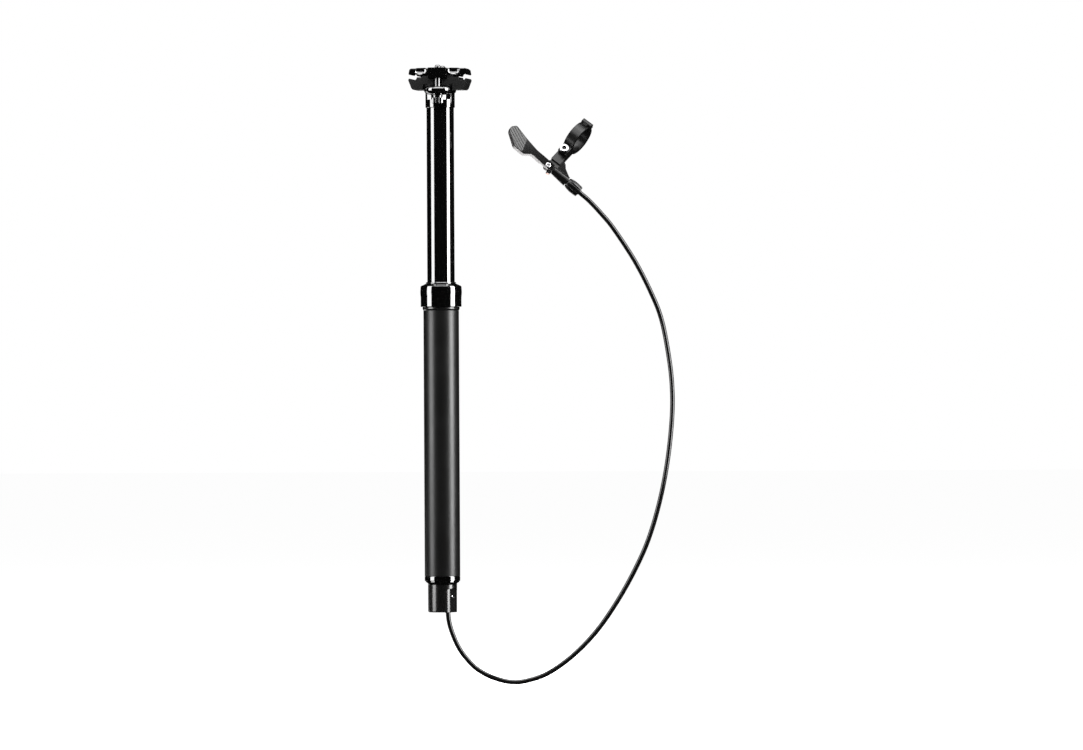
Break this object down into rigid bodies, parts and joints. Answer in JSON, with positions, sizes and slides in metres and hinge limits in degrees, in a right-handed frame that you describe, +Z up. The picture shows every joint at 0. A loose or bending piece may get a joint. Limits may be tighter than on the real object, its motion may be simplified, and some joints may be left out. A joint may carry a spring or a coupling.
{
  "type": "dropper seatpost",
  "caption": "Telescoping bicycle seatpost with a gas spring, a tilting saddle rail clamp, a cable actuated release at its foot and a thumb lever remote for the handlebar.",
  "frame": {"origin": "on the post's axis at the top of the part that goes into the seat tube", "axes": "+Z up along the post, +X towards the remote, -Y towards the front"},
  "size_m": [0.2323, 0.0672, 0.5521],
  "materials": {
    "matte_black_alloy": "fine matte black anodised aluminium",
    "gloss_black_alloy": "polished gloss black anodised aluminium",
    "black_rubber": "smooth black seal rubber",
    "bearing_brass": "plain bearing bronze",
    "bright_steel": "bright plated steel",
    "dark_steel": "blackened steel",
    "bare_alloy": "bare turned aluminium",
    "copper_anchor": "copper coloured plated anchor",
    "black_plastic": "black extruded plastic jacket"
  },
  "bodies": {
    "outer_post": {"outer_tube": "matte_black_alloy", "seal_collar": "gloss_black_alloy", "wiper_seal": "black_rubber", "collar_o_ring": "black_rubber", "upper_bush": "bearing_brass", "base_plug": "gloss_black_alloy", "actuator_housing": "gloss_black_alloy", "actuator_grub_screw": "bright_steel", "cam_pivot_pin": "bright_steel", "lower_ferrule": "dark_steel", "release_spring": "bright_steel", "piston_rod": "bright_steel", "piston": "bare_alloy", "piston_seal": "black_rubber", "cable_housing": "black_plastic", "remote_bracket": "matte_black_alloy", "clamp_band": "matte_black_alloy", "clamp_hinge_pin": "bright_steel", "clamp_screw": "bright_steel", "lever_pivot_bolt": "bright_steel"},
    "inner_post": {"inner_tube": "gloss_black_alloy", "post_head": "gloss_black_alloy", "lower_bush": "bearing_brass", "guide_keys": "bearing_brass", "gas_cylinder": "bare_alloy", "cylinder_cap": "bare_alloy", "rod_guide": "bearing_brass", "rod_seal": "black_rubber", "top_out_bumper": "black_rubber", "clamp_bolts": "dark_steel", "bolt_washers": "dark_steel"},
    "saddle_clamp": {"lower_cradle": "gloss_black_alloy", "upper_clamp": "gloss_black_alloy"},
    "front_nut": {"front_barrel_nut": "bright_steel"},
    "rear_nut": {"rear_barrel_nut": "bright_steel"},
    "gas_divider": {"floating_piston": "bare_alloy", "floating_seal": "black_rubber"},
    "release_rod": {"release_pin": "bare_alloy"},
    "cam": {"release_cam": "bright_steel", "cable_nipple": "bright_steel"},
    "cam_wire_end": {"cam_wire": "bright_steel"},
    "lever": {"thumb_lever": "matte_black_alloy", "pivot_bush": "bearing_brass", "cable_anchor": "copper_anchor", "anchor_screw": "bright_steel"},
    "lever_wire_end": {"lever_wire": "bright_steel"},
    "housing_end": {"adjuster_ferrule": "black_plastic"},
    "adjuster": {"barrel_adjuster": "matte_black_alloy"}
  },
  "joints": [
    {"name": "post_slide", "type": "slide", "parent": "outer_post", "child": "inner_post", "axis": [0, 0, 1], "range_m": [-0.15, 0], "stiffness_N_per_m": 400, "springref_m": 0.3},
    {"name": "saddle_tilt", "type": "hinge", "parent": "inner_post", "child": "saddle_clamp", "pos_m": [0, 0, 0.2133], "axis": [1, 0, 0], "range_deg": [-7, 7]},
    {"name": "front_nut_turn", "type": "hinge", "parent": "saddle_clamp", "child": "front_nut", "pos_m": [0, -0.0165, 0.2133], "axis": [1, 0, 0], "range_deg": [-7, 7]},
    {"name": "rear_nut_turn", "type": "hinge", "parent": "saddle_clamp", "child": "rear_nut", "pos_m": [0, 0.0165, 0.2133], "axis": [1, 0, 0], "range_deg": [-7, 7]},
    {"name": "gas_divider_slide", "type": "slide", "parent": "inner_post", "child": "gas_divider", "axis": [0, 0, 1], "range_m": [0, 0.052]},
    {"name": "lever_pull", "type": "hinge", "parent": "outer_post", "child": "lever", "pos_m": [0.09459, 0.01161, 0.1299], "axis": [-0.3473, 0.9041, -0.2489], "range_deg": [0, 28], "stiffness_Nm_per_rad": 0.1, "springref_deg": -28.65},
    {"name": "lever_wire_pull", "type": "slide", "parent": "outer_post", "child": "lever_wire_end", "axis": [-0.9361, -0.3498, 0.0358], "range_m": [0, 0.0024]},
    {"name": "cam_wire_pull", "type": "slide", "parent": "outer_post", "child": "cam_wire_end", "axis": [0, 0, -1], "range_m": [0, 0.0024]},
    {"name": "cam_turn", "type": "hinge", "parent": "outer_post", "child": "cam", "pos_m": [0.00168, -0.00089, -0.2515], "axis": [0.4695, 0.8829, 0], "range_deg": [0, 36]},
    {"name": "pin_lift", "type": "slide", "parent": "outer_post", "child": "release_rod", "axis": [0, 0, 1], "range_m": [0, 0.0012], "deforming": ["release_spring"]},
    {"name": "housing_end_travel", "type": "slide", "parent": "outer_post", "child": "housing_end", "axis": [0.7527, 0.1104, -0.6491], "range_m": [0, 0.0017]},
    {"name": "adjuster_turn", "type": "hinge", "parent": "housing_end", "child": "adjuster", "pos_m": [0.11126, 0.01698, 0.11607], "axis": [0.7527, 0.1104, -0.6491], "range_deg": [0, 720]}
  ],
  "couplings": [
    {"joint": "front_nut_turn", "follows": "saddle_tilt", "ratio": -1},
    {"joint": "rear_nut_turn", "follows": "saddle_tilt", "ratio": -1},
    {"joint": "gas_divider_slide", "follows": "post_slide", "ratio": -0.34602},
    {"joint": "lever_wire_pull", "follows": "lever_pull", "m_per_rad": 0.0048},
    {"joint": "cam_wire_pull", "follows": "lever_pull", "m_per_rad": 0.0048},
    {"joint": "cam_turn", "follows": "lever_pull", "ratio": 1.28},
    {"joint": "pin_lift", "follows": "lever_pull", "m_per_rad": 0.00225},
    {"joint": "housing_end_travel", "follows": "adjuster_turn", "m_per_rad": 0.00012732}
  ]
}
